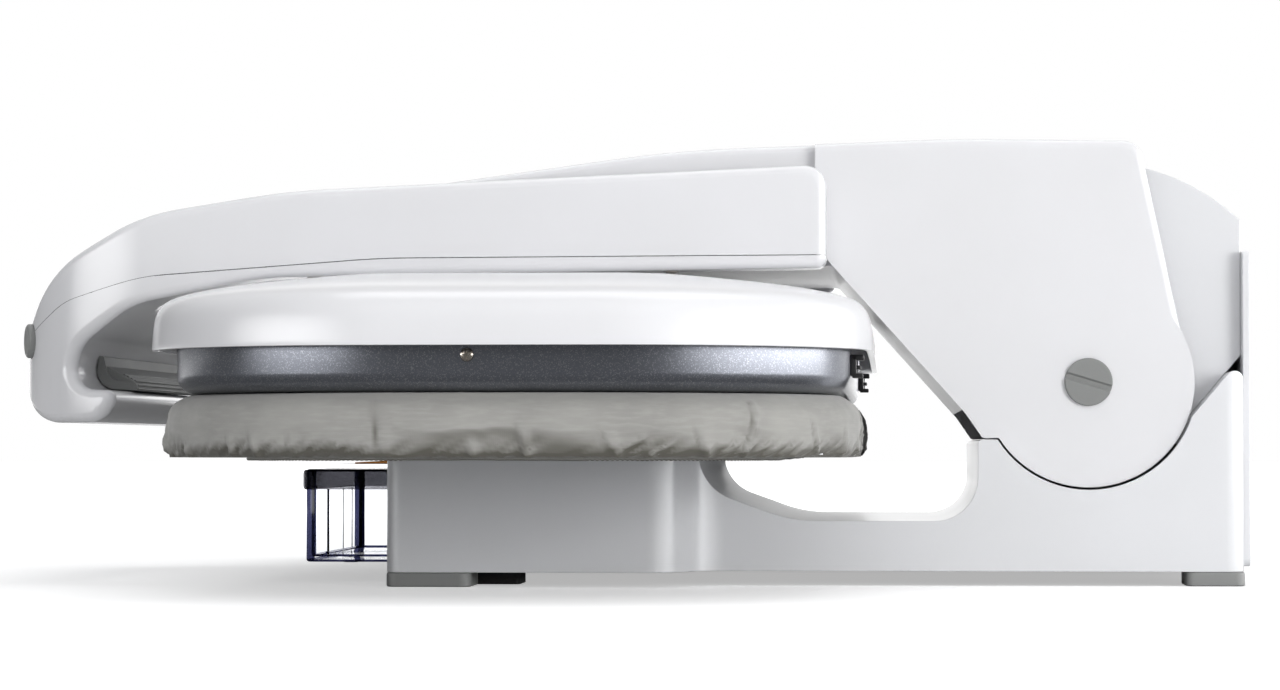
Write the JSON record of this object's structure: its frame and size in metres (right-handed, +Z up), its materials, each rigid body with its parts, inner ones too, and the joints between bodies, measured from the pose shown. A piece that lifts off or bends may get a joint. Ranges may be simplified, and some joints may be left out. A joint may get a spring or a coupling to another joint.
{
  "type": "steam ironing press",
  "caption": "Table-top steam ironing press: padded board on a pedestal base, hinged arm with a heated shoe, U-shaped handle and pull-out water tank.",
  "frame": {"origin": "on the table under the middle of the closed press", "axes": "+Z up, X across the press along the board's length, -Y towards the operator"},
  "size_m": [0.65, 0.522, 0.1871],
  "materials": {
    "white_gloss": "glossy moulded white",
    "white_base": "satin moulded white",
    "grey_plastic": "matte mid grey",
    "dark_plastic": "matte dark",
    "black_rubber": "matte black",
    "pan_enamel": "metallic flecked grey enamel",
    "sole_aluminium": "cast",
    "pad_cloth": "grey cotton cover",
    "tank_clear": "clear blue-tinted plastic",
    "flap_tint": "smoky translucent",
    "steel": "zinc plated",
    "bronze": "turned",
    "screw_metal": "plated",
    "clip_black": "black and bright",
    "lens_amber": "translucent"
  },
  "bodies": {
    "base": {"base_shell": "white_base", "base_plate": "dark_plastic", "front_feet": "grey_plastic", "front_rubber_pads": "black_rubber", "rear_feet": "grey_plastic", "rear_tower": "white_base", "hinge_bracket": "steel", "hinge_bushes": "bronze", "spring_rod": "steel", "lift_springs": "steel", "back_panel": "white_base", "power_inlet": "dark_plastic", "inlet_pins": "steel", "board_plate": "steel", "board_pad": "pad_cloth", "tank_seat": "dark_plastic", "water_pump": "dark_plastic", "feed_hose": "black_rubber", "riser_hose": "black_rubber"},
    "arm": {"arm_shell": "white_gloss", "control_panel": "grey_plastic", "pilot_lenses": "lens_amber", "arm_underside": "white_base", "hanger_guides": "dark_plastic", "arm_frame_left": "steel", "arm_frame_right": "steel", "arm_cross_tubes": "steel", "hinge_pins": "steel", "hinge_caps": "grey_plastic", "shaft_bushes": "bronze"},
    "handle": {"handle_top_shell": "white_gloss", "handle_lower_shell": "white_gloss", "handle_screws": "screw_metal", "handle_grip": "grey_plastic", "handle_straps": "steel", "handle_shaft": "steel", "press_crank": "steel", "steam_switches": "dark_plastic"},
    "shoe": {"shoe_pan": "pan_enamel", "sole_plate": "sole_aluminium", "heating_element": "steel", "thermostat": "steel", "shoe_cover": "white_gloss", "shoe_hanger": "steel", "shoe_pillars": "steel", "lifting_beam": "steel", "shoe_screws": "screw_metal", "rear_clips": "clip_black"},
    "button_right": {"steam_button_right": "grey_plastic"},
    "button_left": {"steam_button_left": "grey_plastic"},
    "dial": {"temperature_dial": "grey_plastic"},
    "rocker": {"power_switch": "dark_plastic"},
    "tank": {"water_tank": "tank_clear", "tank_lid": "tank_clear", "filler_flap": "flap_tint", "tank_valve": "bronze"}
  },
  "joints": [
    {"name": "arm_hinge", "type": "hinge", "parent": "base", "child": "arm", "pos_m": [0, 0.1935, 0.085], "axis": [-1, 0, 0], "range_deg": [0, 50]},
    {"name": "handle_lift", "type": "hinge", "parent": "arm", "child": "handle", "pos_m": [0, 0.069, 0.155], "axis": [-1, 0, 0], "range_deg": [0, 18]},
    {"name": "shoe_press", "type": "slide", "parent": "arm", "child": "shoe", "axis": [0, 0, 1], "range_m": [0, 0.003]},
    {"name": "button_right_press", "type": "slide", "parent": "handle", "child": "button_right", "axis": [-0.38, 0.925, 0], "range_m": [0, 0.002], "stiffness_N_per_m": 400},
    {"name": "button_left_press", "type": "slide", "parent": "handle", "child": "button_left", "axis": [0.38, 0.925, 0], "range_m": [0, 0.002], "stiffness_N_per_m": 400},
    {"name": "dial_turn", "type": "hinge", "parent": "arm", "child": "dial", "pos_m": [0.048, -0.099, 0.1575], "axis": [0, -0.6084, 0.7936], "range_deg": [0, 270]},
    {"name": "rocker_tilt", "type": "hinge", "parent": "arm", "child": "rocker", "pos_m": [-0.048, -0.099, 0.1575], "axis": [1, 0, 0], "range_deg": [0, 12]},
    {"name": "tank_slide", "type": "slide", "parent": "base", "child": "tank", "axis": [0, -1, 0], "range_m": [0, 0.12]}
  ],
  "couplings": [
    {"joint": "shoe_press", "follows": "handle_lift", "m_per_rad": 0.0095493}
  ]
}
